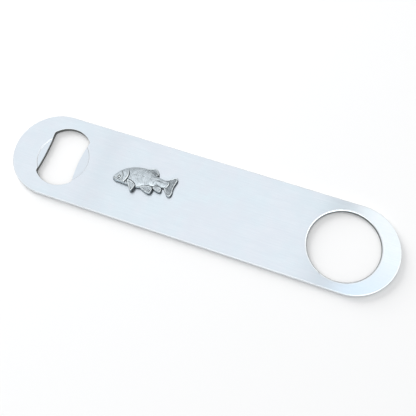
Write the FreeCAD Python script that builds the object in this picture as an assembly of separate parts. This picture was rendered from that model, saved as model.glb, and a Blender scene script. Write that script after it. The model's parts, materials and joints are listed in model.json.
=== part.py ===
import FreeCAD
import Part

import math
import os

"""Flat bar-blade bottle opener with a cast pewter carp emblem, in millimetres.

The blade lies flat, with its back on z = 0. X runs along the blade, from the cap opening at -X to the finger
hole at +X, and Z points out of the face that carries the emblem. The origin is the middle of the back.

Pieces, bottom to top:
    blade           one stamped stainless plate: round ends, a cap opening, a finger hole and a coined ring
    adhesive_layer  the bond line that holds the emblem on
    carp_emblem     one pewter casting: a domed carp in relief with five fins, seen from its left side
"""

V = FreeCAD.Vector

# ---- driving dimensions of the blade ----
BLADE_LENGTH = 178.0
BLADE_WIDTH = 40.0
BLADE_THICKNESS = 2.0
BLADE_EDGE_RADIUS = 0.4

FINGER_HOLE_RADIUS = 15.5
FINGER_HOLE_TO_END = 8.1
FINGER_HOLE_EDGE_RADIUS = 0.85

MOUTH_LENGTH = 28.6          # across the blade, crown to crown of its two arched ends
MOUTH_CENTRE_X = -65.4
MOUTH_LIP_HALF_SPAN = 10.2   # half of the lip's length, corner to corner
MOUTH_LIP_X = -74.3          # the lip's corners; the lip is the side that hooks under a cap
MOUTH_LIP_BULGE = 0.45       # how far the lip's middle stands into the opening
MOUTH_HEEL_HALF_SPAN = 10.1
MOUTH_HEEL_X = -56.5         # the heel's corners; the heel is the side that presses on the cap
MOUTH_HEEL_BULGE = 0.95
MOUTH_CORNER_RADIUS = 1.3
MOUTH_EDGE_RADIUS = 0.2

COIN_RADIUS = 12.05          # the ring that a die has struck round the mouth
COIN_CENTRE = (-65.0, -1.0)
COIN_DEPTH = 0.3
COIN_DRAFT = 0.2             # how much smaller the floor's radius is than the rim's

# ---- driving dimensions of the emblem ----
ADHESIVE_THICKNESS = 0.15
ADHESIVE_SPREAD = 0.92       # the bond line's size as a share of the body that it lies under
EMBLEM_CENTRE = (-25.5, 1.0)
DOME_HEIGHT = 2.9            # the body's crown above the casting's back
DOME_HALF_LENGTH = 15.0
DOME_HALF_WIDTH = 5.6
DOME_CENTRE = (-2.0, -0.2)   # from the emblem's centre
BODY_TILT_DEG = 9.0          # the carp swims slightly tail-up
HEAD_STEP = 0.3              # how much the gill cover raises the crown of the dome
PECTORAL_STEP = 0.75         # how much the pectoral fin raises it, where it lies over the flank
EYE_RADIUS = 0.6
EYE_CENTRE = (-10.9, -2.4)
EYE_PROUD = 0.2

# Outlines of the carp's parts, from the emblem's centre. Each is a closed smooth curve through its points.
BODY_OUTLINE = [
    (-13.6, -3.8), (-13.3, -2.6), (-12.1, -0.5), (-10.0, 1.7), (-7.2, 3.4), (-4.2, 4.4), (-1.2, 4.8), (1.6, 4.3),
    (4.6, 3.2), (7.0, 2.6), (9.4, 2.4), (11.0, 2.2), (11.4, 0.8), (10.8, -1.0), (8.4, -1.8), (5.5, -2.4),
    (2.5, -3.8), (-1.0, -4.9), (-5.5, -5.1), (-9.8, -4.9), (-12.6, -4.6),
]
HEAD_OUTLINE = [
    (-15.0, -5.0), (-14.0, 0.0), (-10.0, 3.8), (-8.6, 2.4), (-7.4, 0.6), (-6.8, -1.4), (-7.0, -3.1), (-7.8, -4.7),
    (-9.0, -6.4), (-13.0, -6.6),
]
TAIL_OUTLINE = [
    (9.4, 2.4), (11.1, 3.4), (12.8, 4.7), (13.9, 5.0), (14.6, 4.1), (14.3, 1.6), (14.1, -0.6), (14.4, -2.7),
    (13.8, -4.5), (12.6, -4.5), (11.1, -3.0), (9.9, -1.6), (9.2, 0.4),
]
DORSAL_OUTLINE = [
    (-1.6, 4.4), (0.4, 5.2), (1.9, 5.9), (3.3, 6.3), (4.8, 5.4), (5.6, 4.2), (5.6, 3.2), (4.4, 2.6), (1.5, 3.4),
]
PECTORAL_OUTLINE = [
    (-6.3, -3.0), (-4.2, -3.3), (-2.6, -4.2), (-2.3, -5.3), (-2.9, -7.1), (-3.5, -7.6), (-4.8, -6.2), (-5.8, -4.9),
    (-6.5, -3.9),
]
PELVIC_OUTLINE = [
    (-0.4, -4.5), (1.0, -5.2), (2.9, -5.9), (4.2, -6.1), (5.1, -5.8), (5.5, -4.8), (5.3, -3.4), (4.0, -2.2),
    (1.4, -2.2),
]
ANAL_OUTLINE = [
    (5.4, -3.4), (7.0, -3.9), (8.5, -4.1), (9.3, -3.7), (9.4, -2.8), (8.9, -1.8), (7.2, -1.4), (5.4, -1.9),
]
# Each fin's outline and its thickness above the casting's back.
FINS = {
    "tail": (TAIL_OUTLINE, 1.25),
    "dorsal": (DORSAL_OUTLINE, 1.2),
    "pectoral": (PECTORAL_OUTLINE, 1.7),
    "pelvic": (PELVIC_OUTLINE, 1.5),
    "anal": (ANAL_OUTLINE, 1.4),
}

# ---- worked out from the driving dimensions ----
HALF_LENGTH = BLADE_LENGTH / 2
HALF_WIDTH = BLADE_WIDTH / 2
END_CENTRE_X = HALF_LENGTH - HALF_WIDTH
FINGER_HOLE_X = HALF_LENGTH - FINGER_HOLE_TO_END - FINGER_HOLE_RADIUS
EMBLEM_BASE_Z = BLADE_THICKNESS + ADHESIVE_THICKNESS
CUT_CLEARANCE = 1.0          # how far a cutting tool runs past the face that it cuts
RIM_MARGIN = 0.5             # how far past a hole its rim edges are looked for
FLATNESS = 1e-4              # an edge that rises less than this is flat


def prism(edges, z_low, z_high):
    """The solid between z_low and z_high inside a closed ring of edges that lie on z = 0."""
    face = Part.Face(Part.Wire(edges))
    face.translate(V(0, 0, z_low))
    return face.extrude(V(0, 0, z_high - z_low))


def arc(start, through, end):
    """The circular edge from start to end by way of through, on z = 0."""
    return Part.Arc(V(*start, 0), V(*through, 0), V(*end, 0)).toShape()


def line(start, end):
    return Part.LineSegment(V(*start, 0), V(*end, 0)).toShape()


def edges_where(shape, wanted):
    return [edge for edge in shape.Edges if wanted(edge)]


def flat_edge(edge):
    """True of an edge that lies in one horizontal plane."""
    return edge.BoundBox.ZLength < FLATNESS


def upright_edge(edge):
    return edge.BoundBox.XLength < FLATNESS and edge.BoundBox.YLength < FLATNESS


def blade_blank():
    """The plate with its two semicircular ends, and its outer edges rounded."""
    x, y = END_CENTRE_X, HALF_WIDTH
    outline = [
        line((-x, -y), (x, -y)),
        arc((x, -y), (HALF_LENGTH, 0), (x, y)),
        line((x, y), (-x, y)),
        arc((-x, y), (-HALF_LENGTH, 0), (-x, -y)),
    ]
    blank = prism(outline, 0, BLADE_THICKNESS)
    return blank.makeFillet(BLADE_EDGE_RADIUS, edges_where(blank, flat_edge))


def mouth_cutter():
    """The cap opening: a lip and a heel that bulge into it, two arched ends and four rounded corners."""
    lip_low, lip_high = (MOUTH_LIP_X, -MOUTH_LIP_HALF_SPAN), (MOUTH_LIP_X, MOUTH_LIP_HALF_SPAN)
    heel_low, heel_high = (MOUTH_HEEL_X, -MOUTH_HEEL_HALF_SPAN), (MOUTH_HEEL_X, MOUTH_HEEL_HALF_SPAN)
    crown = MOUTH_LENGTH / 2
    outline = [
        arc(lip_low, (MOUTH_CENTRE_X, -crown), heel_low),
        arc(heel_low, (MOUTH_HEEL_X - MOUTH_HEEL_BULGE, 0), heel_high),
        arc(heel_high, (MOUTH_CENTRE_X, crown), lip_high),
        arc(lip_high, (MOUTH_LIP_X + MOUTH_LIP_BULGE, 0), lip_low),
    ]
    cutter = prism(outline, -CUT_CLEARANCE, BLADE_THICKNESS + CUT_CLEARANCE)
    return cutter.makeFillet(MOUTH_CORNER_RADIUS, edges_where(cutter, upright_edge))


def finger_hole_cutter():
    height = BLADE_THICKNESS + 2 * CUT_CLEARANCE
    return Part.makeCylinder(FINGER_HOLE_RADIUS, height, V(FINGER_HOLE_X, 0, -CUT_CLEARANCE))


def coin_cutter():
    """The struck ring: a shallow round recess whose wall leans outwards."""
    floor_z = BLADE_THICKNESS - COIN_DEPTH
    wall_slope = COIN_DRAFT / COIN_DEPTH
    height = COIN_DEPTH + CUT_CLEARANCE
    return Part.makeCone(COIN_RADIUS - COIN_DRAFT, COIN_RADIUS - COIN_DRAFT + wall_slope * height, height,
                         V(*COIN_CENTRE, floor_z))


def rounded_rim(plate, radius, x_low, x_high):
    """plate with both rims rounded of the hole that spans x_low to x_high."""
    def on_rim(edge):
        box = edge.BoundBox
        return flat_edge(edge) and x_low - RIM_MARGIN <= box.XMin and box.XMax <= x_high + RIM_MARGIN
    return plate.makeFillet(radius, edges_where(plate, on_rim))


def blade():
    """The stamped plate: blanked and pierced, its edges tumbled round, and then coined round the mouth."""
    plate = blade_blank().cut(mouth_cutter())
    plate = rounded_rim(plate, MOUTH_EDGE_RADIUS, MOUTH_LIP_X, MOUTH_HEEL_X)
    plate = plate.cut(finger_hole_cutter())
    plate = rounded_rim(plate, FINGER_HOLE_EDGE_RADIUS, FINGER_HOLE_X - FINGER_HOLE_RADIUS,
                        FINGER_HOLE_X + FINGER_HOLE_RADIUS)
    return plate.cut(coin_cutter())


def outline_edge(points, share=1.0):
    """The closed smooth edge through an outline's points, drawn to that share of its size about the dome's centre."""
    centre = [sum(pair) for pair in zip(EMBLEM_CENTRE, DOME_CENTRE)]
    curve = Part.BSplineCurve()
    curve.interpolate([V(centre[0] + share * (x - DOME_CENTRE[0]), centre[1] + share * (y - DOME_CENTRE[1]), 0)
                       for x, y in points], PeriodicFlag=True)
    return [curve.toShape()]


def dome(height):
    """The crowned body as an ellipsoid, long way along the carp, its middle on the casting's back."""
    stretch = FreeCAD.Matrix()
    stretch.scale(DOME_HALF_LENGTH, DOME_HALF_WIDTH, height)
    ball = Part.makeSphere(1.0).transformGeometry(stretch)
    ball.rotate(V(0, 0, 0), V(0, 0, 1), BODY_TILT_DEG)
    ball.translate(V(EMBLEM_CENTRE[0] + DOME_CENTRE[0], EMBLEM_CENTRE[1] + DOME_CENTRE[1], EMBLEM_BASE_Z))
    return ball


def upright_block(outline):
    """The column over an outline, from the casting's back to well above its crown."""
    return prism(outline_edge(outline), EMBLEM_BASE_Z, EMBLEM_BASE_Z + 2 * DOME_HEIGHT)


def body():
    """The flank, with the head's step at the gill cover and the pectoral fin's step over the flank."""
    block = upright_block(BODY_OUTLINE)
    shape = block.common(dome(DOME_HEIGHT))
    for outline, step in ((HEAD_OUTLINE, HEAD_STEP), (PECTORAL_OUTLINE, PECTORAL_STEP)):
        shape = shape.fuse(block.common(upright_block(outline)).common(dome(DOME_HEIGHT + step)))
    return shape


def eye():
    """A small ball set into the head, at the height of the dome under it."""
    tilt = math.radians(BODY_TILT_DEG)
    x, y = EYE_CENTRE[0] - DOME_CENTRE[0], EYE_CENTRE[1] - DOME_CENTRE[1]
    along = (x * math.cos(tilt) + y * math.sin(tilt)) / DOME_HALF_LENGTH
    across = (y * math.cos(tilt) - x * math.sin(tilt)) / DOME_HALF_WIDTH
    surface = (DOME_HEIGHT + HEAD_STEP) * math.sqrt(1 - along ** 2 - across ** 2)
    centre = V(EYE_CENTRE[0] + EMBLEM_CENTRE[0], EYE_CENTRE[1] + EMBLEM_CENTRE[1],
               EMBLEM_BASE_Z + surface + EYE_PROUD - EYE_RADIUS)
    return Part.makeSphere(EYE_RADIUS, centre)


def fin(outline, thickness):
    return prism(outline_edge(outline), EMBLEM_BASE_Z, EMBLEM_BASE_Z + thickness)


def carp_emblem():
    """The one-piece casting: body, head, eye and fins."""
    casting = body().fuse(eye())
    for outline, thickness in FINS.values():
        casting = casting.fuse(fin(outline, thickness))
    return casting.removeSplitter()


def adhesive_layer():
    """The film between the casting's back and the blade. It lies under the body, and the fins overhang it."""
    return prism(outline_edge(BODY_OUTLINE, ADHESIVE_SPREAD), BLADE_THICKNESS, EMBLEM_BASE_Z)


def write(name, shape):
    """Checks a piece and writes it to parts/NAME.step as solids."""
    solids = shape.Solids
    if not solids or not all(solid.isValid() for solid in solids):
        raise ValueError(f"{name} has no valid solid")
    piece = solids[0] if len(solids) == 1 else Part.makeCompound(solids)
    piece.exportStep(os.path.join("parts", name + ".step"))
    box = piece.optimalBoundingBox()
    print(f"{name}: {len(solids)} solid, {piece.Volume:.1f} mm3, "
          f"x {box.XMin:.2f} to {box.XMax:.2f}, y {box.YMin:.2f} to {box.YMax:.2f}, z {box.ZMin:.2f} to {box.ZMax:.2f}")


os.makedirs("parts", exist_ok=True)
write("blade", blade())
write("adhesive_layer", adhesive_layer())
write("carp_emblem", carp_emblem())
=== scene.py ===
# %% [markdown]
# # A flat bar-blade bottle opener with a cast pewter carp
# The real object is three pieces: a stamped stainless blade, a carp cast in pewter, and the film of epoxy
# that bonds the casting to the blade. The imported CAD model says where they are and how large. These cells
# give the blade its rolled rims, struck ring and brushed grain, and sculpt the carp that the CAD model only
# blocks out.

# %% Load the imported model
import json
import math

import bmesh
import bpy
import numpy as np
from mathutils import Matrix, Vector


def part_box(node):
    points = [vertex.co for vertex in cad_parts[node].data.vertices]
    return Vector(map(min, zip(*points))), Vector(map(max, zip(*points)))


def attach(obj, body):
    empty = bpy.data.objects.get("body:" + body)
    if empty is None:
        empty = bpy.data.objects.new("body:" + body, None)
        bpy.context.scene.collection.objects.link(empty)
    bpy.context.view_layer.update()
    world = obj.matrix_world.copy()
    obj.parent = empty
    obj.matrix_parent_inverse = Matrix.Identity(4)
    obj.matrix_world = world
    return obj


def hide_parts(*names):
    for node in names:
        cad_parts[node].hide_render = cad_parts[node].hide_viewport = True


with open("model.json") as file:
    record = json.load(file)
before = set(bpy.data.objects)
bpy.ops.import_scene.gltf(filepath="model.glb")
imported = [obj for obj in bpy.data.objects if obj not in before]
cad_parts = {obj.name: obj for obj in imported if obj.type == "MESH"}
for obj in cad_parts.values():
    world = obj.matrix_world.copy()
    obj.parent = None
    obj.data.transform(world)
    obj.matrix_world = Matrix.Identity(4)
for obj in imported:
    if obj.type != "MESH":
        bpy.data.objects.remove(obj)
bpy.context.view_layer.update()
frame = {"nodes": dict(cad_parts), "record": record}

MM = 0.001

# %% [markdown]
# ## The camera
# The opener lies on a table and is looked down on from beyond its lower edge, from about 24 cm, with the
# finger hole a little nearer. A normal lens on a square picture keeps the taper between the two round ends
# natural. The three turns are applied roll first, then yaw, then pitch, which is what the rotation mode ZYX
# means.

# %% Camera
CAMERA_PLACE = (45.904 * MM, -80.643 * MM, 224.367 * MM)
CAMERA_TURNS = (0.338, 0.1683, 0.3098)
LENS_MM = 47.79
SENSOR_MM = 36.0

camera_data = bpy.data.cameras.new("studio_camera")
camera_data.lens = LENS_MM
camera_data.sensor_width = SENSOR_MM
camera_data.clip_start = 5 * MM
camera = bpy.data.objects.new("studio_camera", camera_data)
camera.location = CAMERA_PLACE
camera.rotation_mode = "ZYX"
camera.rotation_euler = CAMERA_TURNS
bpy.context.scene.collection.objects.link(camera)
bpy.context.scene.camera = camera
print(f"camera sees {math.degrees(camera_data.angle):.1f} degrees, from {camera.location.length / MM:.0f} mm")

# %% [markdown]
# ## The blade's outlines
# A press punches the blade out of sheet, so every wall follows one flat outline. Three rings of edges are
# enough: the blank with its two round ends, the finger hole, and the cap opening. A circle that is cut in
# two and pulled apart makes the blank. The cap opening is drawn the way a toolmaker draws it, as arcs that
# run into each other. A vertex is spun from arc to arc along one half, and that half is mirrored.

# %% Sizes of the blade
blade_low, blade_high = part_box("blade")
BACK = blade_low.z
FACE = blade_high.z
HALF_WIDTH = blade_high.y
END_CENTRE = blade_high.x - HALF_WIDTH
finger_mount = next(m for m in frame["record"]["mounts"] if m["name"] == "finger_hole")
FINGER_CENTRE = finger_mount["pos_m"][0]
FINGER_RADIUS = finger_mount["dims"]["r_mm"] * MM

MOUTH_CENTRE = -65.4 * MM
MOUTH_CROWN = 14.3 * MM         # the arched ends' furthest point from the middle line
MOUTH_END_RADIUS = 11.6 * MM
LIP_MIDDLE = -73.85 * MM        # the side that hooks under a cap
LIP_RADIUS = 115.8 * MM
HEEL_MIDDLE = -57.45 * MM       # the side that presses on the cap
HEEL_RADIUS = 54.2 * MM
MOUTH_CORNER_RADIUS = 1.3 * MM
print(f"blade {2 * blade_high.x / MM:.1f} x {2 * HALF_WIDTH / MM:.1f} x {(FACE - BACK) / MM:.1f} mm")


# %% Blank and finger hole
def ring_edges(verts):
    """The edges whose two ends are both in verts."""
    ring = set(verts)
    touching = dict.fromkeys(edge for vert in verts for edge in vert.link_edges)      # each edge once
    return [edge for edge in touching if ring.issuperset(edge.verts)]


def add_circle(mesh, radius, centre_x, z, segments):
    """A ring of edges. It is turned by half a step, so that no vertex lies on the Y axis."""
    place = Matrix.Translation((centre_x, 0, z)) @ Matrix.Rotation(math.pi / segments, 4, "Z")
    return bmesh.ops.create_circle(mesh, segments=segments, radius=radius, matrix=place)["verts"]


def add_blank(mesh, z):
    """The blank's outline: a circle whose two halves are pulled apart."""
    verts = add_circle(mesh, HALF_WIDTH, 0, z, 288)
    for side in (-1, 1):
        half = [v for v in verts if v.co.x * side > 0]
        bmesh.ops.translate(mesh, verts=half, vec=(side * END_CENTRE, 0, 0))
    return verts


# %% Cap opening
def circle_crossing(centre_a, radius_a, centre_b, radius_b):
    """The crossing of two circles that has the larger y."""
    apart = centre_b - centre_a
    along = (radius_a ** 2 - radius_b ** 2 + apart.length_squared) / (2 * apart.length)
    across = math.sqrt(radius_a ** 2 - along ** 2)
    step = apart.normalized()
    sideways = Vector((-step.y, step.x, 0)) * across
    both = [centre_a + step * along + sideways, centre_a + step * along - sideways]
    return max(both, key=lambda point: point.y)


def sweep_to(mesh, vert, centre, end, step_length):
    """Spins vert about centre as far as end, leaving an arc of edges, and returns its last vertex."""
    start, finish = vert.co - centre, end - centre
    angle = math.atan2(start.cross(finish).z, start.dot(finish))
    steps = max(3, round(abs(angle) * start.length / step_length))
    made = bmesh.ops.spin(mesh, geom=[vert], cent=centre, axis=(0, 0, 1), angle=angle, steps=steps)
    return next(item for item in made["geom_last"] if isinstance(item, bmesh.types.BMVert))


def add_mouth(mesh, z):
    """The cap opening's outline. Half is swept from the lip's middle to the heel's, and then mirrored."""
    lip_centre = Vector((LIP_MIDDLE - LIP_RADIUS, 0, z))
    heel_centre = Vector((HEEL_MIDDLE + HEEL_RADIUS, 0, z))
    end_centre = Vector((MOUTH_CENTRE, MOUTH_CROWN - MOUTH_END_RADIUS, z))
    corner_reach = MOUTH_END_RADIUS - MOUTH_CORNER_RADIUS
    sides = []
    for side_centre, side_radius in ((lip_centre, LIP_RADIUS), (heel_centre, HEEL_RADIUS)):
        corner = circle_crossing(side_centre, side_radius + MOUTH_CORNER_RADIUS, end_centre, corner_reach)
        on_side = side_centre + (corner - side_centre).normalized() * side_radius
        on_end = end_centre + (corner - end_centre).normalized() * MOUTH_END_RADIUS
        sides.append((side_centre, corner, on_side, on_end))
    (lip_c, corner_a, lip_end, end_a), (heel_c, corner_b, heel_end, end_b) = sides
    crown = Vector((MOUTH_CENTRE, MOUTH_CROWN, z))
    known = set(mesh.verts)
    vert = mesh.verts.new((LIP_MIDDLE, 0, z))
    vert = sweep_to(mesh, vert, lip_c, lip_end, 0.5 * MM)
    vert = sweep_to(mesh, vert, corner_a, end_a, 0.15 * MM)
    vert = sweep_to(mesh, vert, end_centre, crown, 0.4 * MM)
    vert = sweep_to(mesh, vert, end_centre, end_b, 0.4 * MM)
    vert = sweep_to(mesh, vert, corner_b, heel_end, 0.15 * MM)
    sweep_to(mesh, vert, heel_c, Vector((HEEL_MIDDLE, 0, z)), 0.5 * MM)
    half = [v for v in mesh.verts if v not in known]
    bmesh.ops.mirror(mesh, geom=half + ring_edges(half), axis="Y", merge_dist=0.001 * MM)
    return [v for v in mesh.verts if v not in known]

# %% [markdown]
# ## The blade's body
# After the press come the belt and the tumbling barrel, which roll every sharp rim over. On the real blade
# the finger hole is rolled most, because a finger goes in it. The three outlines are filled to make half
# the blade's skin. Each rim is pulled back by its radius and then extruded outwards and down round a
# quarter circle. The half is mirrored through the middle of the sheet, so that the back gets the same rims.

# %% Rolled rims
RIM_RADII = {"outer": 0.4 * MM, "finger_hole": 0.85 * MM, "mouth": 0.2 * MM}
RIM_STEPS = 6


def store_outwards(verts, layer):
    """Stores on each vertex of a rim the way out of the face that it bounds."""
    for vert in verts:
        total = Vector()
        for edge in vert.link_edges:
            if edge.is_boundary:
                loop = edge.link_loops[0]
                along = loop.link_loop_next.vert.co - loop.vert.co
                total += along.normalized().cross(loop.face.normal)
        vert[layer] = total.normalized()


def roll_rim(mesh, verts, layer, radius, wall_end):
    """Rolls a rim over with that radius, and runs its wall down to the height wall_end."""
    for vert in verts:
        vert.co -= vert[layer] * radius
    top = verts[0].co.z
    edges = [edge for edge in ring_edges(verts) if edge.is_boundary]
    turns = [math.pi / 2 * step / RIM_STEPS for step in range(RIM_STEPS + 1)]
    places = [(radius * math.sin(turn), top - radius * (1 - math.cos(turn))) for turn in turns]
    places.append((radius, wall_end))
    for (out, _), (new_out, new_z) in zip(places, places[1:]):
        made = bmesh.ops.extrude_edge_only(mesh, edges=edges)["geom"]
        edges = [item for item in made if isinstance(item, bmesh.types.BMEdge)]
        for vert in (item for item in made if isinstance(item, bmesh.types.BMVert)):
            vert.co += vert[layer] * (new_out - out)
            vert.co.z = new_z


# %% Blade blank, pierced and rolled
def build_blank():
    """The blade before its ring is struck."""
    mesh = bmesh.new()
    layer = mesh.verts.layers.float_vector.new("outwards")
    rims = {
        "outer": add_blank(mesh, FACE),
        "finger_hole": add_circle(mesh, FINGER_RADIUS, FINGER_CENTRE, FACE, 192),
        "mouth": add_mouth(mesh, FACE),
    }
    bmesh.ops.triangle_fill(mesh, use_beauty=True, edges=mesh.edges[:], normal=(0, 0, 1))
    bmesh.ops.recalc_face_normals(mesh, faces=mesh.faces[:])
    if mesh.faces[0].normal.z < 0:
        bmesh.ops.reverse_faces(mesh, faces=mesh.faces[:])
    middle = (FACE + BACK) / 2
    for verts in rims.values():
        store_outwards(verts, layer)
    for name, verts in rims.items():
        roll_rim(mesh, verts, layer, RIM_RADII[name], middle)
    bmesh.ops.mirror(mesh, geom=mesh.verts[:] + mesh.edges[:] + mesh.faces[:], axis="Z",
                     matrix=Matrix.Translation((0, 0, -middle)), merge_dist=0.001 * MM)
    bmesh.ops.recalc_face_normals(mesh, faces=mesh.faces[:])
    mesh.verts.layers.float_vector.remove(layer)
    return mesh


def as_piece(mesh, name):
    """Turns a finished bmesh into an object at the origin."""
    data = bpy.data.meshes.new(name)
    mesh.to_mesh(data)
    mesh.free()
    piece = bpy.data.objects.new(name, data)
    bpy.context.scene.collection.objects.link(piece)
    return piece


blade = as_piece(build_blank(), "brushed_blade")
print("blank:", len(blade.data.vertices), "vertices,", len(blade.data.polygons), "faces")

# %% [markdown]
# ## The struck ring
# A round die is struck over the cap opening and leaves a ring that is a few tenths of a millimetre deep, of
# which two crescents remain beside the opening. Cutting a turned shape out of the blade gives the same
# thing. The shape's outline is the die's: a flat floor, a small root, a leaning wall, and a lip that rolls
# out to the face.

# %% Strike the ring
COIN_CENTRE = Vector((-65.0 * MM, -1.0 * MM, FACE))
COIN_PROFILE_MM = [(11.72, -0.3), (11.82, -0.285), (11.89, -0.24), (11.98, -0.10), (12.05, -0.035),
                   (12.16, -0.008), (12.6, 0.06), (12.6, 0.5)]      # radius, and height over the face
COIN_SEGMENTS = 224


def build_die():
    """The die as a closed solid, turned from its outline."""
    mesh = bmesh.new()
    profile = [mesh.verts.new(COIN_CENTRE + Vector((radius * MM, 0, height * MM)))
               for radius, height in COIN_PROFILE_MM]
    chain = [mesh.edges.new(pair) for pair in zip(profile, profile[1:])]
    bmesh.ops.spin(mesh, geom=profile + chain, cent=COIN_CENTRE, axis=(0, 0, 1), angle=2 * math.pi,
                   steps=COIN_SEGMENTS, use_merge=True)
    bmesh.ops.remove_doubles(mesh, verts=mesh.verts[:], dist=0.001 * MM)
    bmesh.ops.holes_fill(mesh, edges=mesh.edges[:], sides=0)
    bmesh.ops.recalc_face_normals(mesh, faces=mesh.faces[:])
    return mesh


def cut_away(piece, tool):
    """Cuts tool out of piece, and deletes tool."""
    cut = piece.modifiers.new("cut", "BOOLEAN")
    cut.operation = "DIFFERENCE"
    cut.solver = "EXACT"
    cut.object = tool
    bpy.context.view_layer.update()
    result = bpy.data.meshes.new_from_object(piece.evaluated_get(bpy.context.evaluated_depsgraph_get()))
    piece.modifiers.clear()
    piece.data = result
    bpy.data.objects.remove(tool)


cut_away(blade, as_piece(build_die(), "die"))
print("struck:", len(blade.data.vertices), "vertices,", len(blade.data.polygons), "faces")

# %% [markdown]
# ## How the carp is drawn
# The relief is a height over the casting's flat back, worked out at any point of a drawing in millimetres.
# The tools that it needs are few: a smooth curve through points, the distance to a curve or an outline, a
# smooth ramp and a bell. Everything that an engraver cuts, a groove, a ridge, a step, is one of these over
# a distance.

# %% Curves and distances
def smooth_path(points, closed=False, per_span=5):
    """A curve through the points, as many short straight runs."""
    p = np.array(points, float)
    if closed:
        p = np.vstack([p[-1:], p, p[:2]])
    else:
        p = np.vstack([2 * p[:1] - p[1:2], p, 2 * p[-1:] - p[-2:-1]])
    t = np.linspace(0, 1, per_span, endpoint=False)[:, None]
    spans = []
    for a, b, c, d in zip(p, p[1:], p[2:], p[3:]):
        spans.append(0.5 * (2 * b + (c - a) * t + (2 * a - 5 * b + 4 * c - d) * t ** 2
                            + (3 * b - a - 3 * c + d) * t ** 3))
    return np.vstack(spans + [p[-2:-1]])


def side_distance(xy, path):
    """Distance from each point to a path. It is positive on the path's left, and negative on its right."""
    best = np.full(len(xy), np.inf)
    side = np.ones(len(xy))
    for start, end in zip(path, path[1:]):
        run = end - start
        along = np.clip((xy - start) @ run / (run @ run), 0, 1)
        gap = xy - start - along[:, None] * run
        distance = np.hypot(gap[:, 0], gap[:, 1])
        nearer = distance < best
        best = np.where(nearer, distance, best)
        cross = run[0] * gap[:, 1] - run[1] * gap[:, 0]
        side = np.where(nearer, np.sign(cross), side)
    return best * side


def inside_distance(xy, segments):
    """Distance from each point to a closed outline, given as segments. It is positive inside."""
    corners = np.array([start for start, _ in segments])
    near = np.all((xy > corners.min(0) - 1) & (xy < corners.max(0) + 1), axis=1)
    result = np.full(len(xy), -1.0)
    xy = xy[near]
    best = np.full(len(xy), np.inf)
    crossings = np.zeros(len(xy), int)
    x, y = xy[:, 0], xy[:, 1]
    for start, end in segments:
        run = end - start
        along = np.clip((xy - start) @ run / max(run @ run, 1e-12), 0, 1)
        gap = xy - start - along[:, None] * run
        best = np.minimum(best, np.hypot(gap[:, 0], gap[:, 1]))
        straddles = (start[1] > y) != (end[1] > y)
        if straddles.any():
            crossing_x = start[0] + (y - start[1]) / (run[1] if run[1] else 1e-12) * run[0]
            crossings += straddles & (x < crossing_x)
    result[near] = np.where(crossings % 2 == 1, best, -best)
    return result


def lobe_distance(xy, points):
    loop = smooth_path(points, closed=True)
    return inside_distance(xy, list(zip(loop, np.roll(loop, -1, axis=0))))


def ramp(low, high, value):
    """0 below low, 1 above high, and a smooth rise between them."""
    t = np.clip((value - low) / (high - low), 0, 1)
    return t * t * (3 - 2 * t)


def bell(value, width):
    return np.exp(-(value / width) ** 2)


def through(points, value):
    """The height at value of a smooth curve through (place, height) points."""
    path = smooth_path(points)
    return np.interp(value, path[:, 0], path[:, 1])

# %% [markdown]
# ## The carp's relief
# The flank is a dome between the back's line and the belly's. The head adds the gill cover, cheek, jaw,
# mouth, nostril and eye. The scales lie in overlapping rows, each with its free edge towards the tail. The
# fins are thin plates with rays that fan from a root, and a rim that stands up where the mould was cut
# deepest.

# %% The carp's drawing
BACK_LINE = [(-13.7, -3.6), (-13.3, -2.6), (-12.1, -0.5), (-10.0, 1.7), (-7.2, 3.4), (-4.2, 4.4), (-1.2, 4.8),
             (1.6, 4.3), (4.6, 3.2), (7.0, 2.6), (9.4, 2.4), (12.0, 2.3)]
BELLY_LINE = [(-13.7, -3.9), (-12.6, -4.6), (-9.8, -4.9), (-5.5, -5.1), (-1.0, -4.9), (2.5, -3.8),
              (5.5, -2.4), (8.4, -1.8), (12.0, -1.1)]
CREST_LINE = [(-13.7, 1.2), (-12.4, 1.9), (-9.5, 2.6), (-5.0, 3.0), (-0.5, 3.0), (4.5, 2.5), (8.5, 1.9),
              (12.0, 1.5)]      # x, and the dome's height there
BODY_END = [(10.7, -1.6), (11.3, -0.9), (11.75, 0.6), (11.6, 1.9), (10.9, 2.9)]
GILL_EDGE = [(-8.6, -6.0), (-7.6, -4.7), (-6.9, -3.2), (-6.45, -1.6), (-6.8, 0.3), (-7.9, 2.2), (-9.6, 3.6)]
CHEEK_EDGE = [(-9.9, -5.6), (-9.2, -4.2), (-8.9, -2.9), (-9.3, -1.5), (-10.1, -0.3)]
JAW_FOLD = [(-12.6, -3.9), (-11.7, -4.25), (-10.6, -4.5), (-9.6, -4.55), (-8.9, -4.3)]
MOUTH_SLIT = [(-14.2, -3.5), (-13.4, -3.4), (-12.7, -3.6)]
EYE = (-10.5, -2.95)
EYE_RADIUS = 0.52
NOSTRIL = (-12.55, -1.9)
TAIL = [(9.4, 2.4), (11.1, 3.4), (12.8, 4.7), (13.9, 5.0), (14.6, 4.1), (14.3, 1.6), (14.1, -0.6),
        (14.4, -2.7), (13.8, -4.5), (12.6, -4.5), (11.1, -3.0), (9.9, -1.6), (9.2, 0.4)]
TAIL_ROOT = (7.6, 0.5)          # where its rays would meet
DORSAL = [(-1.6, 4.4), (0.4, 5.2), (1.9, 5.9), (3.3, 6.3), (4.8, 5.4), (5.6, 4.2), (5.6, 3.2), (4.4, 2.6),
          (1.5, 3.4)]
PECTORAL = [(-6.3, -3.0), (-4.2, -3.3), (-2.6, -4.2), (-2.3, -5.3), (-2.9, -7.1), (-3.5, -7.6),
            (-4.8, -6.2), (-5.8, -4.9), (-6.5, -3.9)]
PECTORAL_ROOT = (-7.4, -1.6)
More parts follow.
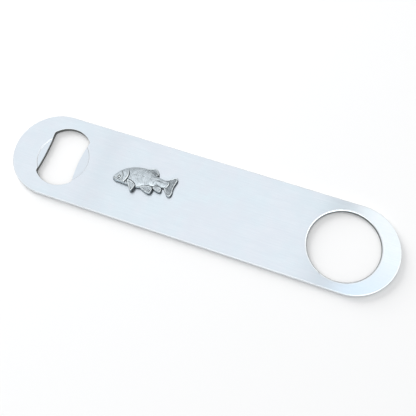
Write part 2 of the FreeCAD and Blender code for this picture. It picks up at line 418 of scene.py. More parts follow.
PELVIC = [(-0.4, -4.5), (1.0, -5.2), (2.9, -5.9), (4.2, -6.1), (5.1, -5.8), (5.5, -4.8), (5.4, -3.4),
          (4.2, -2.8), (2.4, -3.0), (0.8, -3.6)]
ANAL = [(5.4, -3.4), (7.0, -3.9), (8.5, -4.1), (9.3, -3.7), (9.4, -2.8), (8.9, -1.8), (7.2, -1.6),
        (5.4, -2.2)]
FIN_EDGE_RADIUS = 0.3
print("drawing:", len(BACK_LINE) + len(BELLY_LINE), "points on the body's outline and 5 fins")


# %% Scales
def scale_rows(along, across, length, height):
    """Overlapping scales, 0 at each one's front and 1 at its free edge. Rows are set off by half a scale."""
    result = np.zeros(len(along))
    lead = np.full(len(along), np.inf)
    row_of = np.floor(across / height)
    radius = 0.72 * length
    for row_step in (-1, 0, 1, 2):
        row = row_of + row_step
        shift = np.where(row % 2 == 0, 0.0, 0.5)
        column_of = np.floor(along / length - shift)
        for column_step in (-1, 0, 1):
            centre_along = (column_of + column_step + shift) * length
            centre_across = row * height
            reach = np.hypot((along - centre_along) / radius, (across - centre_across) / (0.95 * height))
            covers = (reach < 1) & (centre_along < lead)
            depth = np.clip((along - centre_along) / radius * 0.5 + 0.5, 0, 1)
            crown = depth * (1 - 0.35 * np.clip(reach, 0, 1) ** 6)
            result = np.where(covers, crown, result)
            lead = np.where(covers, centre_along, lead)
    return result


# %% The bare body, and rays
def bare_body(xy):
    """A dome between the back's line and the belly's, in mm, and where each point lies between them."""
    x, y = xy.T
    back, belly = through(BACK_LINE, x), through(BELLY_LINE, x)
    middle, half = (back + belly) / 2, np.maximum((back - belly) / 2, 0.2)
    share = np.clip((y - middle) / half, -1, 1)
    crest = through(CREST_LINE, x)
    foot = 0.42 * crest
    body = foot + (crest - foot) * (1 - np.abs(share) ** 2.3) ** 0.62
    return body, back, middle, half, share


def ray_fan(xy, root, first, last, count):
    """Ridges that fan from a root between two directions in degrees, 1 on each ridge and 0 between them."""
    angle = np.degrees(np.arctan2(xy[:, 1] - root[1], xy[:, 0] - root[0]))
    turn = (angle - first) / (last - first) * count
    return 0.5 + 0.5 * np.cos(2 * math.pi * turn)


# %% Head
def carve_head(xy, body, gill):
    """Carves the head into body. gill is the distance in front of the gill cover's edge."""
    x, y = xy.T
    on_head = ramp(-0.02, 0.22, gill)
    open_gill = ramp(-5.8, -4.6, y) * ramp(1.5, -0.5, y)
    body += on_head * (0.26 - 0.12 * ramp(0.3, 2.6, gill)) * (0.35 + 0.65 * open_gill)
    body += (0.14 * bell(gill - 0.45, 0.22) - 0.1 * bell(gill + 0.16, 0.18)) * open_gill

    cheek = side_distance(xy, smooth_path(CHEEK_EDGE))
    near_cheek = ramp(1.2, 0.2, np.abs(cheek)) * ramp(-5.2, -4.4, y) * ramp(0.6, -0.6, y)
    body += near_cheek * (0.14 * bell(cheek - 0.12, 0.16) - 0.18 * bell(cheek + 0.14, 0.14))
    fold = side_distance(xy, smooth_path(JAW_FOLD))
    body += 0.24 * bell(fold, 0.22) - 0.05 * bell(fold - 0.38, 0.16)
    body -= 0.3 * bell(side_distance(xy, smooth_path(MOUTH_SLIT)), 0.12)

    # the eye is a ball with a dimple, in a groove with a raised rim
    to_eye = np.hypot(x - EYE[0], y - EYE[1])
    body += 0.16 * bell(to_eye - 0.86, 0.14) - 0.2 * bell(to_eye - 0.62, 0.12)
    ball = np.sqrt(np.clip(1 - (to_eye / EYE_RADIUS) ** 2, 0, 1))
    body += 0.26 * ball - 0.06 * bell(to_eye, 0.16)
    body -= 0.14 * bell(np.hypot(x - NOSTRIL[0], y - NOSTRIL[1]), 0.16)


# %% Flank
def carve_flank(xy, body, gill, to_end, back, middle, share):
    """Carves the flank into body. to_end is the distance in front of the body's end."""
    x, y = xy.T
    size = 1 - 0.3 * ramp(0, 11, x)      # scales get smaller towards the tail
    on_flank = ramp(0.1, 0.5, -gill) * ramp(0.25, 0.7, to_end) * ramp(1.0, 0.86, np.abs(share))
    rows = scale_rows((x + 0.12 * (y - middle) ** 2) / size, (y - middle) / size, 1.0, 0.52)
    body += on_flank * 0.24 * (rows - 0.5) * (0.75 + 0.25 * ramp(-1, 0.2, share))

    # pits of the lateral line, knobs along the back, two dips before the tail, a ridge at the body's end
    lateral = y - middle - 0.25
    body -= on_flank * 0.1 * bell(lateral, 0.12) * (0.5 + 0.5 * np.cos(2 * math.pi * x / 0.8))
    knobs = bell(y - back + 0.62, 0.17) * (0.5 + 0.5 * np.cos(2 * math.pi * x / 0.5))
    body += 0.12 * knobs * ramp(-8.5, -7.0, x) * ramp(5.5, 4.0, x)
    body -= 0.32 * bell(x - 7.1, 1.7) * bell(y + 1.2, 0.85) + 0.26 * bell(x - 7.0, 1.1) * bell(y - 0.8, 0.45)
    body += 0.22 * bell(to_end - 0.3, 0.2)


# %% Fins
def lay_fin(height, inside, top):
    """Lays a fin with a rounded edge over what is there. inside is the distance inside the fin's outline."""
    edge = np.clip(1 - inside / FIN_EDGE_RADIUS, 0, 1)
    fin = top - FIN_EDGE_RADIUS * (1 - np.sqrt(1 - edge ** 2))
    return np.where(inside > 0, np.maximum(height, fin), height)


def lay_tail(xy, height):
    x, y = xy.T
    inside = lobe_distance(xy, TAIL)
    reach = np.hypot(x - TAIL_ROOT[0], y - TAIL_ROOT[1])
    rays = ray_fan(xy, TAIL_ROOT, -48, 40, 17)
    trailing = ramp(12.2, 13.0, x)
    top = 1.22 - 0.015 * (reach - 3) + 0.11 * (rays - 0.5) * ramp(3.4, 4.4, reach)
    top += trailing * (0.22 * bell(inside - 0.42, 0.2)) - 0.12 * bell(y - 0.4, 0.35) * ramp(12.5, 14, x)
    top += 0.12 * bell(inside - 0.3, 0.16) * (1 - trailing)
    return lay_fin(height, inside, top)


def lay_dorsal(xy, height, back):
    inside = lobe_distance(xy, DORSAL)
    rays = ray_fan(xy, (-3.2, -1.2), 38, 78, 11)
    top = 1.2 + 0.1 * (rays - 0.5) + 0.16 * bell(inside - 0.34, 0.2) + 0.4 * bell(xy[:, 1] - back + 0.1, 0.55)
    return lay_fin(height, inside, top)


def lay_belly_fins(xy, height):
    inside = lobe_distance(xy, PELVIC)
    rays = ray_fan(xy, (-2.2, -1.8), -64, -16, 11)
    top = 1.62 + 0.09 * (rays - 0.5) + 0.2 * bell(inside - 0.34, 0.2) + 0.42 * ramp(-5.0, -3.4, xy[:, 1])
    height = lay_fin(height, inside, top)
    inside = lobe_distance(xy, ANAL)
    rays = ray_fan(xy, (4.6, 1.2), -84, -36, 8)
    return lay_fin(height, inside, 1.5 + 0.05 * (rays - 0.5) + 0.12 * bell(inside - 0.32, 0.18))


def lay_pectoral(xy, height):
    """The pectoral fin stands over the flank, in a groove that sets it off."""
    inside = lobe_distance(xy, PECTORAL)
    reach = np.hypot(xy[:, 0] - PECTORAL_ROOT[0], xy[:, 1] - PECTORAL_ROOT[1])
    rays = ray_fan(xy, PECTORAL_ROOT, -66, -20, 8)
    top = 2.95 - 0.16 * (reach - 1.5) + 0.09 * (rays - 0.5) * ramp(1.6, 2.6, reach) \
        + 0.19 * bell(inside - 0.36, 0.2)
    top = np.minimum(np.maximum(top, height + 0.2), 3.15)
    height = height - 0.2 * bell(inside + 0.12, 0.14) * (height > 1.5)
    return lay_fin(height, inside, top)


# %% The whole relief
def carp_relief(xy):
    """The casting's height over its back, in mm, at points of the drawing."""
    body, back, middle, half, share = bare_body(xy)
    gill = side_distance(xy, smooth_path(GILL_EDGE))      # the path runs upwards, so its left is the head
    to_end = side_distance(xy, smooth_path(BODY_END))     # positive on the body's side
    carve_head(xy, body, gill)
    carve_flank(xy, body, gill, to_end, back, middle, share)
    outside = np.maximum(np.abs(xy[:, 1] - middle) - half, 0)
    height = np.where(to_end > 0, body - 3 * outside, 0)
    height = lay_dorsal(xy, lay_tail(xy, height), back)
    return lay_pectoral(xy, lay_belly_fins(xy, height))


probes = {"eye": EYE, "gill cover": (-7.6, -1.6), "flank": (0, 0.5), "tail": (12.8, 1.0)}
for place_name, lift in zip(probes, carp_relief(np.array(list(probes.values()), float))):
    print(f"relief at the {place_name}: {lift:.2f} mm")

# %% [markdown]
# ## The casting
# Pewter is cast in a rubber mould that was pressed round a hand-cut model, so the carp is one skin with no
# joins. A fine grid is cut to the outline of the CAD casting's back, its rim is drawn onto that outline,
# and every vertex is lifted to the relief's height. The rim is then extruded down to the back and closed. A
# little smoothing at the end stands for the metal, which never fills a sharp corner.

# %% Cut the sheet to the outline
GRID_PITCH = 0.062
BARBEL_PLACE = (-11.6, -4.65)
BARBEL_RADIUS = 0.42
carp_low, carp_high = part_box("carp_emblem")
CARP_ORIGIN = carp_low + Vector((13.6 * MM, 7.61 * MM, 0))


def back_outline(node):
    """The outline of a CAD node's flat back, as pairs of points in the drawing's millimetres."""
    mesh = bmesh.new()
    mesh.from_mesh(frame["nodes"][node].data)
    bmesh.ops.remove_doubles(mesh, verts=mesh.verts[:], dist=0.0005 * MM)
    level = min(v.co.z for v in mesh.verts) + 0.001 * MM
    on_back = {face for face in mesh.faces if all(v.co.z < level for v in face.verts)}
    outline = [[((v.co - CARP_ORIGIN) / MM)[:2] for v in edge.verts] for edge in mesh.edges
               if sum(face in on_back for face in edge.link_faces) == 1]
    mesh.free()
    return np.array(outline)


def casting_distance(xy):
    """Distance inside the casting's outline. The barbel at the mouth's corner is a small disc added to it."""
    barbel = BARBEL_RADIUS - np.hypot(xy[:, 0] - BARBEL_PLACE[0], xy[:, 1] - BARBEL_PLACE[1])
    return np.maximum(inside_distance(xy, carp_outline), barbel)


def grid_points(mesh):
    return np.array([v.co[:2] for v in mesh.verts])


def pull_to_outline(xy):
    """Moves points onto the casting's outline, along the slope of their distance to it."""
    nudge = 0.01
    for _ in range(3):
        here = casting_distance(xy)
        slope = np.stack([casting_distance(xy + step) - here for step in ((nudge, 0), (0, nudge))], axis=1)
        slope /= np.maximum(np.linalg.norm(slope, axis=1, keepdims=True), 1e-9)
        xy = xy - here[:, None] * slope
    return xy


def cut_sheet():
    """A flat fine grid in the drawing's millimetres, trimmed to the casting's outline."""
    mesh = bmesh.new()
    low = np.array((carp_low - CARP_ORIGIN)[:2]) / MM - GRID_PITCH
    high = np.array((carp_high - CARP_ORIGIN)[:2]) / MM + GRID_PITCH
    counts = np.ceil((high - low) / GRID_PITCH).astype(int)
    place = Matrix.Translation((*((low + high) / 2), 0)) @ Matrix.Diagonal((*((high - low) / 2), 1, 1))
    bmesh.ops.create_grid(mesh, x_segments=int(counts[0]), y_segments=int(counts[1]), size=1, matrix=place)
    inside = casting_distance(grid_points(mesh)) > 0
    mesh.verts.index_update()
    spare = [face for face in mesh.faces if sum(inside[v.index] for v in face.verts) < 3]
    bmesh.ops.delete(mesh, geom=spare, context="FACES")
    bmesh.ops.delete(mesh, geom=[v for v in mesh.verts if not v.link_faces], context="VERTS")
    rim = [v for v in mesh.verts if v.is_boundary]
    for vert, point in zip(rim, pull_to_outline(np.array([v.co[:2] for v in rim]))):
        vert.co.xy = point
    return mesh


carp_outline = back_outline("carp_emblem")
print("outline:", len(carp_outline), "edges")


# %% Lift the sheet to the relief
LEAST_HEIGHT = 0.75      # nothing in the casting is thinner
WALL_RADIUS = 0.34       # how far its rim is rounded over
WALL_STEPS = 5


def build_casting():
    """The casting as one closed skin, in place on the blade."""
    mesh = cut_sheet()
    xy = grid_points(mesh)
    inside = casting_distance(xy)
    height = np.maximum(carp_relief(xy), LEAST_HEIGHT)
    round_over = 1 - np.clip(inside / WALL_RADIUS, 0, 1)
    height -= WALL_RADIUS * (1 - np.sqrt(1 - round_over ** 2))
    for vert, lift in zip(mesh.verts, height):
        vert.co.z = lift
    bmesh.ops.smooth_vert(mesh, verts=[v for v in mesh.verts if not v.is_boundary], factor=0.4,
                          use_axis_x=False, use_axis_y=False, use_axis_z=True)
    edges = [edge for edge in mesh.edges if edge.is_boundary]
    for step in range(WALL_STEPS, 0, -1):
        made = bmesh.ops.extrude_edge_only(mesh, edges=edges)["geom"]
        edges = [item for item in made if isinstance(item, bmesh.types.BMEdge)]
        for vert in (item for item in made if isinstance(item, bmesh.types.BMVert)):
            vert.co.z *= (step - 1) / step
    bmesh.ops.holes_fill(mesh, edges=edges, sides=0)
    bmesh.ops.recalc_face_normals(mesh, faces=mesh.faces[:])
    place = Matrix.Translation(CARP_ORIGIN) @ Matrix.Scale(MM, 4)
    bmesh.ops.transform(mesh, matrix=place, verts=mesh.verts[:])
    return mesh


carp = as_piece(build_casting(), "cast_carp")
print("casting:", len(carp.data.vertices), "vertices,", len(carp.data.polygons), "faces")
for polygon in carp.data.polygons:
    polygon.use_smooth = True

# %% [markdown]
# ## Masks that the finishes read
# A finish changes with the way a surface was made. On the blade that is plain from each face: it is the
# wall of a punched hole, the floor or wall that the die struck, a rolled rim, or the blank's outer wall. The
# hole walls and the die's wall also carry painted shade, and the outer wall painted light. On the casting it
# is how deep a point lies below its surroundings, since dark patina stays in hollows and is rubbed off
# ridges. The casting is also darker towards the tail and on the low fins, more so towards their top, and
# painted shade darkens the foot of each wall and the walls that face the tail. Both are stored on the meshes.

# %% Masks on the blade
DIE_RADIUS = 12.0 * MM      # where the middle of the struck ring's wall lies


def store_values(obj, name, domain, values):
    obj.data.attributes.new(name, "FLOAT", domain).data.foreach_set("value", np.asarray(values, np.float32))


def read_vectors(items, name):
    """A property of many vertices or faces, as rows of x, y and z."""
    values = np.empty(3 * len(items))
    items.foreach_get(name, values)
    return values.reshape(-1, 3)


def mark_blade(obj):
    """Stores how each face was made as face attributes, and adds a UV map with U along the grain."""
    centre, normal = read_vectors(obj.data.polygons, "center"), read_vectors(obj.data.polygons, "normal")
    level = np.abs(normal[:, 2])      # 1 on a level face, 0 on an upright one
    upright = level < 0.35
    hole_wall = np.zeros(len(centre))
    for middle_x, reach in ((FINGER_CENTRE, FINGER_RADIUS), (MOUTH_CENTRE, MOUTH_CROWN)):
        inward = np.array([middle_x, 0]) - centre[:, :2]
        turned_in = (np.sum(inward * normal[:, :2], axis=1) > 0) & (np.hypot(*inward.T) < reach + 1 * MM)
        hole_wall += turned_in * np.clip((0.72 - level) / 0.3, 0, 1)
    punched = hole_wall > 0
    rolled = (level < 0.995) & ~upright & ~punched
    depth = (FACE - centre[:, 2]) / MM
    off_die = np.abs(np.hypot(*(centre[:, :2] - COIN_CENTRE[:2]).T) - DIE_RADIUS)
    masks = {
        "hole_wall": hole_wall,
        "struck": (depth > 0.2) & (normal[:, 2] > 0.9),
        "rolled": rolled,
        "die_wall": rolled & (depth > 0.02) & (depth < 0.31) & (off_die < 0.4 * MM),
        "outer_wall": upright & ~punched,
    }
    for name, values in masks.items():
        store_values(obj, name, "FACE", values)
    print("marked faces:", {name: int(np.sum(values > 0)) for name, values in masks.items()})
    grain = obj.data.uv_layers.new(name="grain")
    for loop in obj.data.loops:
        x, y, z = obj.data.vertices[loop.vertex_index].co
        grain.data[loop.index].uv = ((x + 0.3 * z) / 0.2, (y + 0.7 * z) / 0.2)


mark_blade(blade)


# %% Masks on the casting
FINE_ROUNDS = 12       # averaging over a scale's width
BROAD_ROUNDS = 90      # averaging over a fin's width


def neighbour_mean(obj, values, rounds):
    """Each vertex's value, averaged with its neighbours' again and again."""
    ends = np.empty(2 * len(obj.data.edges), int)
    obj.data.edges.foreach_get("vertices", ends)
    first, second = ends.reshape(-1, 2).T
    count = 1 + np.bincount(ends, minlength=len(values))
    for _ in range(rounds):
        gathered = np.bincount(first, values[second], len(values))
        gathered += np.bincount(second, values[first], len(values))
        values = (values + gathered) / count
    return values


def mark_casting(obj):
    """Stores, from 0 to 1, how dark patina in the recesses and painted shade on the walls make each vertex,
    and how far it lies on a ridge.
    """
    along, across, height = ((read_vectors(obj.data.vertices, "co") - np.array(CARP_ORIGIN)) / MM).T
    towards_tail, _, up = read_vectors(obj.data.vertices, "normal").T
    wall = np.abs(up) < 0.5
    fine = neighbour_mean(obj, height, FINE_ROUNDS) - height
    broad = neighbour_mean(obj, height, BROAD_ROUNDS) - height
    hollow_and_shade = np.clip(fine / 0.05, -1, 1) * 0.5 + np.clip(broad / 0.22, -1, 1) * 0.5
    low_fin = np.clip((1.35 - height) / 0.25, 0, 1)
    # the low fins are darker, more so towards their top
    hollow_and_shade += (0.12 + 0.16 * ramp(-1.5, 1.5, across)) * low_fin
    # darker towards the tail
    hollow_and_shade += 0.13 * ramp(0.5, 5.5, along)
    hollow_and_shade = np.where(wall, 0.4 * hollow_and_shade, hollow_and_shade)
    # painted shade: darkens the foot of each wall, and the walls that face the tail
    foot = (np.clip(0.35 - 0.25 * height, 0, 1) + 0.5 * np.clip(towards_tail, 0, 1)) * wall
    store_values(obj, "hollow_and_shade", "POINT", np.clip(np.maximum(hollow_and_shade, foot), 0, 1))
    store_values(obj, "ridge", "POINT", np.clip(-hollow_and_shade, 0, 1))
    print(f"hollow on {np.mean(hollow_and_shade > 0.3):.0%} of the casting, ridge on {np.mean(hollow_and_shade < -0.3):.0%}")


mark_casting(carp)

# %% [markdown]
# ## Effects that more than one finish uses
# Cloudy variation, streaks, fine grit and broken-up wear turn up on every metal. Each is a node group that
# gives one value from a place in the object's own space, so the pattern stays with the part and has a real
# size.

# %% Node tools
def add_node(tree, kind, inputs=(), **settings):
    """Adds a shader node. Each input is a plain value or the output that it is linked from."""
    made = tree.nodes.new("ShaderNode" + kind)
    for name, value in settings.items():
        setattr(made, name, value)
    for name, value in dict(inputs).items():
        if isinstance(value, bpy.types.NodeSocket):
            tree.links.new(value, made.inputs[name])
        else:
            made.inputs[name].default_value = value
    return made


def calculate(tree, operation, first, second=0.5, third=0.5):
    return add_node(tree, "Math", {0: first, 1: second, 2: third}, operation=operation).outputs[0]


def map_range(tree, value, low, high, to_low=0.0, to_high=1.0):
    inputs = {"Value": value, "From Min": low, "From Max": high, "To Min": to_low, "To Max": to_high}
    return add_node(tree, "MapRange", inputs, interpolation_type="SMOOTHSTEP").outputs[0]


def noise(tree, place, scale, detail=3.0, roughness=0.55):
    return add_node(tree, "TexNoise", {"Vector": place, "Scale": scale, "Detail": detail,
                                       "Roughness": roughness}).outputs["Fac"]


# %% Shared groups
def start_group(name, values):
    """A node group with a place, some plain values, and one value out."""
    tree = bpy.data.node_groups.new(name, "ShaderNodeTree")
    tree.interface.new_socket("Place", in_out="INPUT", socket_type="NodeSocketVector")
    for label, default in values.items():
        socket = tree.interface.new_socket(label, in_out="INPUT", socket_type="NodeSocketFloat")
        socket.default_value = default
    tree.interface.new_socket("Value", in_out="OUTPUT", socket_type="NodeSocketFloat")
    return tree, tree.nodes.new("NodeGroupInput").outputs


def end_group(tree, value):
    tree.links.new(value, tree.nodes.new("NodeGroupOutput").inputs["Value"])


def build_groups():
    tree, given = start_group("cloudy", {"Size mm": 10.0})
    scale = calculate(tree, "DIVIDE", 1000.0, given["Size mm"])
    broad = noise(tree, given["Place"], scale, 2.0)
    fine = noise(tree, given["Place"], calculate(tree, "MULTIPLY", scale, 4.3), 4.0, 0.65)
    end_group(tree, map_range(tree, calculate(tree, "MULTIPLY_ADD", fine, 0.45, calculate(
        tree, "MULTIPLY", broad, 0.55)), 0.36, 0.64))

    tree, given = start_group("streaks", {"Width mm": 0.2})
    stretched = add_node(tree, "VectorMath", {0: given["Place"], 1: (0.016, 1.0, 1.0)}, operation="MULTIPLY")
    scale = calculate(tree, "DIVIDE", 1000.0, given["Width mm"])
    end_group(tree, map_range(tree, noise(tree, stretched.outputs[0], scale, 5.0, 0.7), 0.3, 0.7))

    tree, given = start_group("grit", {"Size mm": 0.1})
    scale = calculate(tree, "DIVIDE", 1000.0, given["Size mm"])
    grains = add_node(tree, "TexVoronoi", {"Vector": given["Place"], "Scale": scale}, feature="SMOOTH_F1")
    end_group(tree, calculate(tree, "MULTIPLY_ADD", noise(tree, given["Place"], scale, 3.0), 0.6, calculate(
        tree, "MULTIPLY", grains.outputs["Distance"], 0.4)))

    tree, given = start_group("worn", {"Exposure": 0.0, "Size mm": 1.0})
    scale = calculate(tree, "DIVIDE", 1000.0, given["Size mm"])
    broken = calculate(tree, "MULTIPLY_ADD", noise(tree, given["Place"], scale, 4.0, 0.7), 1.1, -0.55)
    end_group(tree, map_range(tree, calculate(tree, "ADD", given["Exposure"], broken), 0.25, 0.85))


build_groups()
print("groups:", [group.name for group in bpy.data.node_groups])


# %% Material tools
def use_group(tree, name, place, **values):
    """Adds a group that reads place and the given values, and returns what it gives."""
    made = tree.nodes.new("ShaderNodeGroup")
    made.node_tree = bpy.data.node_groups[name]
    tree.links.new(place, made.inputs["Place"])
    for label, value in values.items():
        socket = made.inputs[label.replace("_", " ")]
        if isinstance(value, bpy.types.NodeSocket):
            tree.links.new(value, socket)
        else:
            socket.default_value = value
    return made.outputs["Value"]


def new_material(name):
    material = bpy.data.materials.new(name)
    material.use_nodes = True
    tree = material.node_tree
    return material, tree, tree.nodes["Principled BSDF"], add_node(tree, "TexCoord").outputs["Object"]


def read_value(tree, name):
    return add_node(tree, "Attribute", attribute_name=name).outputs["Fac"]


def blend(tree, share, first, second):
    """A colour between two others."""
    made = add_node(tree, "Mix", data_type="RGBA")
    for socket, value in zip((made.inputs[0], made.inputs[6], made.inputs[7]), (share, first, second)):
        if isinstance(value, bpy.types.NodeSocket):
            tree.links.new(value, socket)
        else:
            socket.default_value = value
    return made.outputs[2]

# %% [markdown]
# ## Brushed stainless steel
# The sheet is brushed along its length, so the metal is rougher across the grain than along it. A tangent
# from the UV map turns the highlight that way. Streaks and faint clouds change the tint and the roughness a
# little. The holes' punched walls are sheared metal and duller, and their dark colour is partly the shearing
# and partly painted shade. The die's wall in the struck ring is painted dark as shade. The outer wall is
# tumbled to a matt grey, and its pale colour is painted light. The rolled rims and the struck floor are
# burnished.

# %% Colour of the steel
steel, tree, shader, place = new_material("brushed_stainless")
streak = use_group(tree, "streaks", place, Width_mm=0.16)
cloud = use_group(tree, "cloudy", place, Size_mm=13.0)
grit = use_group(tree, "grit", place, Size_mm=0.09)
hole_wall, outer_wall = read_value(tree, "hole_wall"), read_value(tree, "outer_wall")
struck, die_wall, rolled = (read_value(tree, name) for name in ("struck", "die_wall", "rolled"))
worn = use_group(tree, "worn", place, Exposure=rolled, Size_mm=1.4)
hue = use_group(tree, "cloudy", place, Size_mm=24.0)
tint = blend(tree, hue, blend(tree, streak, (0.67, 0.745, 0.79, 1), (0.735, 0.81, 0.85, 1)),
             blend(tree, streak, (0.70, 0.735, 0.785, 1), (0.77, 0.805, 0.845, 1)))
tint = blend(tree, calculate(tree, "MULTIPLY", cloud, 0.4), tint, (0.69, 0.74, 0.79, 1))
tint = blend(tree, calculate(tree, "MULTIPLY", struck, 0.45), tint, (0.66, 0.72, 0.77, 1))
# painted shade: the die's wall is painted dark as the line of shade along it
tint = blend(tree, die_wall, tint, (0.345, 0.375, 0.405, 1))
tint = blend(tree, worn, tint, (0.80, 0.83, 0.85, 1))
# painted light: the tumbled outer wall is painted pale, and made matt below
tumbled_and_lit = blend(tree, grit, (0.78, 0.82, 0.85, 1), (0.93, 0.96, 0.98, 1))
# the sheared hole walls: a darker metal, made near black with painted shade
sheared_and_shaded = blend(tree, grit, (0.08, 0.085, 0.08, 1), (0.26, 0.27, 0.26, 1))
tint = blend(tree, outer_wall, tint, tumbled_and_lit)
tint = blend(tree, hole_wall, tint, sheared_and_shaded)
tree.links.new(tint, shader.inputs["Base Color"])
metallic = calculate(tree, "MULTIPLY_ADD", outer_wall, -0.9, 1.0)
tree.links.new(metallic, shader.inputs["Metallic"])
print("steel:", len(tree.nodes), "nodes for the colour")

# %% Grain of the steel
rough = calculate(tree, "MULTIPLY_ADD", streak, 0.05, 0.27)
rough = calculate(tree, "MULTIPLY_ADD", cloud, 0.03, rough)
rough = calculate(tree, "MULTIPLY_ADD", hole_wall, 0.2, rough)
rough = calculate(tree, "MULTIPLY_ADD", worn, -0.06, rough)
tree.links.new(rough, shader.inputs["Roughness"])
shader.inputs["Anisotropic"].default_value = 0.6
shader.inputs["Anisotropic Rotation"].default_value = 0.25
tangent = add_node(tree, "Tangent", direction_type="UV_MAP", uv_map="grain")
tree.links.new(tangent.outputs[0], shader.inputs["Tangent"])
height = calculate(tree, "MULTIPLY_ADD", hole_wall, calculate(tree, "MULTIPLY", grit, 4.0), streak)
bump = add_node(tree, "Bump", {"Height": height, "Distance": 0.002 * MM, "Strength": 0.35})
tree.links.new(bump.outputs[0], shader.inputs["Normal"])
blade.data.materials.append(steel)
for polygon in blade.data.polygons:
    polygon.use_smooth = True
weigh = blade.modifiers.new("weighted_normals", "WEIGHTED_NORMAL")
weigh.keep_sharp = True
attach(blade, "root")
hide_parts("blade")
print("steel:", len(tree.nodes), "nodes in all")

# %% [markdown]
# ## Antiqued pewter
# The casting is dipped until it is black and then rubbed back, so the patina is left in the hollows. The dark
# round the foot of the walls and on the walls that face the tail is painted shade. The ridges are bare and
# almost polished. The stored masks drive all of it, broken up by the wear group.

# %% Pewter
pewter, tree, shader, place = new_material("rubbed_pewter")
hollow_and_shade, ridge = read_value(tree, "hollow_and_shade"), read_value(tree, "ridge")
cloud = use_group(tree, "cloudy", place, Size_mm=1.7)
grit = use_group(tree, "grit", place, Size_mm=0.16)
streak = use_group(tree, "streaks", place, Width_mm=0.1)
worn = use_group(tree, "worn", place, Exposure=ridge, Size_mm=0.7)
patch = use_group(tree, "cloudy", place, Size_mm=1.1)
patina_and_shade = calculate(tree, "MULTIPLY", calculate(tree, "POWER", patch, 2.0), 0.30)
patina_and_shade = calculate(tree, "MULTIPLY_ADD", grit, 0.25, calculate(tree, "ADD", patina_and_shade, -0.09))
patina_and_shade = map_range(tree, calculate(tree, "MULTIPLY_ADD", hollow_and_shade, 1.35, patina_and_shade), 0.0, 0.95)
tint = blend(tree, cloud, (0.55, 0.61, 0.64, 1), (0.705, 0.765, 0.80, 1))
tint = blend(tree, worn, tint, (0.80, 0.84, 0.84, 1))
# dark patina in the hollows, and painted shade at the foot of the walls and on walls that face the tail
tint = blend(tree, patina_and_shade, tint, (0.06, 0.068, 0.075, 1))
tree.links.new(tint, shader.inputs["Base Color"])
rough = calculate(tree, "MULTIPLY_ADD", streak, 0.05, 0.33)
rough = calculate(tree, "MULTIPLY_ADD", patina_and_shade, 0.25, rough)
rough = calculate(tree, "MULTIPLY_ADD", worn, -0.07, rough)
tree.links.new(rough, shader.inputs["Roughness"])
shader.inputs["Metallic"].default_value = 1
bump = add_node(tree, "Bump", {"Height": calculate(tree, "MULTIPLY_ADD", cloud, 1.2, grit),
                               "Distance": 0.02 * MM, "Strength": 0.7})
tree.links.new(bump.outputs[0], shader.inputs["Normal"])
carp.data.materials.append(pewter)
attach(carp, "root")
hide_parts("carp_emblem")
print("pewter:", len(tree.nodes), "nodes")

# %% [markdown]
# ## The bond line
# The epoxy is the CAD node itself, a film thinner than a visiting card that shows only as a line under the
# fish. It is cloudy with trapped air and slightly yellow.

# %% Epoxy
epoxy, tree, shader, place = new_material("bond_epoxy")
cloud = use_group(tree, "cloudy", place, Size_mm=3.0)
bubbles = use_group(tree, "grit", place, Size_mm=0.25)
tint = blend(tree, cloud, (0.45, 0.43, 0.36, 1), (0.62, 0.60, 0.52, 1))
tree.links.new(tint, shader.inputs["Base Color"])
tree.links.new(calculate(tree, "MULTIPLY_ADD", bubbles, 0.2, 0.15), shader.inputs["Roughness"])
bump = add_node(tree, "Bump", {"Height": bubbles, "Distance": 0.01 * MM, "Strength": 0.5})
tree.links.new(bump.outputs[0], shader.inputs["Normal"])
adhesive = frame["nodes"]["adhesive_layer"]
for slot in adhesive.material_slots:
    slot.material = epoxy
print("epoxy slots:", len(adhesive.material_slots))

# %% [markdown]
# ## The studio
# The table is plain and pale. One large soft lamp from the far left lays the shadows on it, and a weak one
# from above fills them. Both are kept out of the metal, which shows a set of panels instead, as in a
# product studio. A ceiling with two brighter parts hangs low over the flat of the blade, a cool and a warm
# panel hang over the finger hole's end, and two wide ones in front and at the side light the rims.

# %% Table and world
def build_table():
    mesh = bmesh.new()
    bmesh.ops.create_grid(mesh, x_segments=1, y_segments=1, size=2.0,
                          matrix=Matrix.Translation((0, 0, BACK - 0.02 * MM)))
    table = as_piece(mesh, "table")
    white, _, shader, _ = new_material("table_white")
    shader.inputs["Base Color"].default_value = (0.85, 0.85, 0.85, 1)
    shader.inputs["Roughness"].default_value = 0.9
    shader.inputs["Specular IOR Level"].default_value = 0.1
    table.data.materials.append(white)


build_table()
world = bpy.data.worlds.new("studio")
world.use_nodes = True
world.node_tree.nodes["Background"].inputs["Color"].default_value = (0.97, 0.985, 1.0, 1)
world.node_tree.nodes["Background"].inputs["Strength"].default_value = 0.42
bpy.context.scene.world = world
bpy.context.scene.view_settings.view_transform = "Standard"
print("world:", world.name)


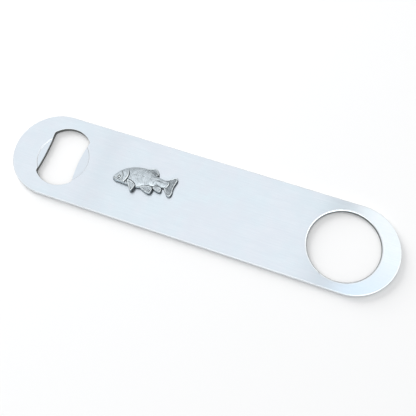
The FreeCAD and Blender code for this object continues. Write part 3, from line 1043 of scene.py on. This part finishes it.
# %% Lamps
def add_lamp(name, place, target, size, radiance, colour=(1, 1, 1), turn=0.0, reflects=True, lights=True):
    """An oblong area lamp at place that faces target. Radiance 1 looks as bright as plain white."""
    data = bpy.data.lights.new(name, "AREA")
    data.shape = "RECTANGLE"
    data.size, data.size_y = size
    data.energy = radiance * math.pi * size[0] * size[1]
    data.color = colour
    lamp = bpy.data.objects.new(name, data)
    lamp.location = place
    aim = (Vector(target) - Vector(place)).to_track_quat("-Z", "Y").to_matrix().to_4x4()
    lamp.rotation_euler = (aim @ Matrix.Rotation(turn, 4, "Z")).to_euler()
    lamp.visible_camera = False
    lamp.visible_glossy = reflects
    lamp.visible_diffuse = lights
    bpy.context.scene.collection.objects.link(lamp)


def add_panel(name, place, size, radiance, colour=(1, 1, 1), target=None, turn=0.0):
    """A lamp that only the metal shows. Without a target it faces straight down."""
    target = target or (place[0], place[1], 0)
    add_lamp(name, place, target, size, radiance, colour, turn, lights=False)


add_lamp("key", (-1.431, 0.806, 0.690), (0, 0, 0), (1.2, 1.0), 8.8, reflects=False)
add_lamp("fill", (0, 0, 0.9), (0, 0, 0), (1.2, 1.2), 1.12, reflects=False)
add_panel("front", (0.10, -0.429, 0.373), (1.1, 0.26), 1.4, (0.95, 0.98, 1.0), target=(0, 0, 0))
add_panel("side", (0.353, -0.082, 0.315), (0.6, 0.22), 1.2, (1.0, 0.99, 0.97), target=(0, 0, 0))
add_panel("ceiling", (-0.030, 0.025, 0.070), (0.40, 0.20), 0.45, (0.965, 0.99, 1.03))
add_panel("left_panel", (-0.1435, 0.025, 0.062), (0.141, 0.20), 0.25)
add_panel("middle_panel", (-0.0055, 0.025, 0.062), (0.127, 0.20), 0.24)
add_panel("cool_panel", (0.125, -0.030, 0.052), (0.115, 0.072), 0.30, (0.64, 0.98, 1.25), turn=-0.10)
add_panel("warm_panel", (0.131, 0.049, 0.052), (0.115, 0.086), 0.445, (1.03, 1.0, 0.90), turn=-0.10)
print("lamps:", [light.name for light in bpy.data.lights])
